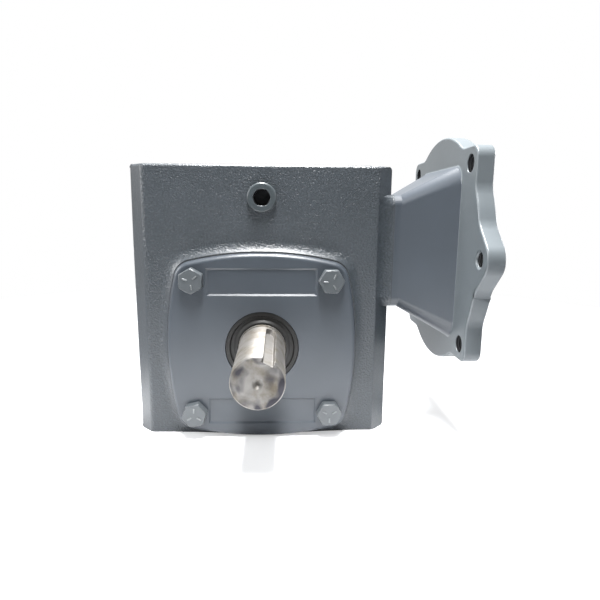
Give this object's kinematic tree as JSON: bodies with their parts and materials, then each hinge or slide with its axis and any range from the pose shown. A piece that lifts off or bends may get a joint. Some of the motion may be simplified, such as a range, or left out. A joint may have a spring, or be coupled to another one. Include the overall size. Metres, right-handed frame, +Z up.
{
  "type": "right angle gear reducer",
  "caption": "Right angle worm gear reducer with a keyed output shaft, a motor flange with a hollow input shaft, and a worm and wheel on ball bearings in a cast housing.",
  "frame": {"origin": "on the base plane, straight below the crossing of the output shaft's axis and the worm wheel's middle plane", "axes": "+Z up, the output shaft points to -Y, the worm runs along X and the motor flange faces +X"},
  "size_m": [0.2138, 0.1859, 0.1939],
  "materials": {
    "blue_grey_enamel": "satin enamel over cast iron",
    "ground_steel": "ground, lightly oiled",
    "bearing_steel": "polished",
    "cage_brass": "stamped",
    "gear_bronze": "cut",
    "bare_cast_iron": "machined",
    "seal_rubber": "moulded nitrile",
    "gasket_paper": "pressed fibre sheet",
    "black_oxide_steel": "black oxide"
  },
  "bodies": {
    "housing": {"housing": "blue_grey_enamel", "front_cover": "blue_grey_enamel", "back_cover": "blue_grey_enamel", "front_cover_gasket": "gasket_paper", "back_cover_gasket": "gasket_paper", "front_cover_bolts": "blue_grey_enamel", "back_cover_bolts": "blue_grey_enamel", "front_plug": "blue_grey_enamel", "back_plug": "blue_grey_enamel", "drain_plug": "blue_grey_enamel", "output_seal": "seal_rubber", "output_seal_spring": "ground_steel", "front_bearing_outer_ring": "bearing_steel", "back_bearing_outer_ring": "bearing_steel", "back_bearing_shim": "ground_steel", "motor_flange": "blue_grey_enamel", "adapter_gasket": "gasket_paper", "adapter_screws": "black_oxide_steel", "input_seal": "seal_rubber", "input_seal_spring": "ground_steel", "input_bearing_outer_ring": "bearing_steel", "rear_bearing_outer_ring": "bearing_steel", "rear_end_cap": "ground_steel"},
    "output_train": {"output_shaft": "ground_steel", "worm_wheel": "gear_bronze", "wheel_hub": "bare_cast_iron", "wheel_key": "ground_steel", "front_bearing_inner_ring": "bearing_steel", "back_bearing_inner_ring": "bearing_steel"},
    "worm_train": {"worm_shaft": "ground_steel", "input_bearing_inner_ring": "bearing_steel", "rear_bearing_inner_ring": "bearing_steel", "input_snap_ring": "black_oxide_steel", "rear_snap_ring": "black_oxide_steel"},
    "front_bearing_rollers": {"front_bearing_balls": "bearing_steel", "front_bearing_cage": "cage_brass"},
    "back_bearing_rollers": {"back_bearing_balls": "bearing_steel", "back_bearing_cage": "cage_brass"},
    "input_bearing_rollers": {"input_bearing_balls": "bearing_steel", "input_bearing_cage": "cage_brass"},
    "rear_bearing_rollers": {"rear_bearing_balls": "bearing_steel", "rear_bearing_cage": "cage_brass"}
  },
  "joints": [
    {"name": "output_spin", "type": "hinge", "parent": "housing", "child": "output_train", "pos_m": [0, 0, 0.0603], "axis": [0, 1, 0], "continuous": true},
    {"name": "worm_spin", "type": "hinge", "parent": "housing", "child": "worm_train", "pos_m": [0, 0, 0.12062], "axis": [1, 0, 0], "continuous": true},
    {"name": "front_bearing_roll", "type": "hinge", "parent": "housing", "child": "front_bearing_rollers", "pos_m": [0, -0.0175, 0.0603], "axis": [0, 1, 0], "continuous": true},
    {"name": "back_bearing_roll", "type": "hinge", "parent": "housing", "child": "back_bearing_rollers", "pos_m": [0, 0.0175, 0.0603], "axis": [0, 1, 0], "continuous": true},
    {"name": "input_bearing_roll", "type": "hinge", "parent": "housing", "child": "input_bearing_rollers", "pos_m": [0.0768, 0, 0.12062], "axis": [1, 0, 0], "continuous": true},
    {"name": "rear_bearing_roll", "type": "hinge", "parent": "housing", "child": "rear_bearing_rollers", "pos_m": [-0.0723, 0, 0.12062], "axis": [1, 0, 0], "continuous": true}
  ],
  "couplings": [
    {"joint": "worm_spin", "follows": "output_spin", "ratio": -30},
    {"joint": "front_bearing_roll", "follows": "output_spin", "ratio": 0.416},
    {"joint": "back_bearing_roll", "follows": "output_spin", "ratio": 0.416},
    {"joint": "input_bearing_roll", "follows": "output_spin", "ratio": -12.869},
    {"joint": "rear_bearing_roll", "follows": "output_spin", "ratio": -11.815}
  ]
}
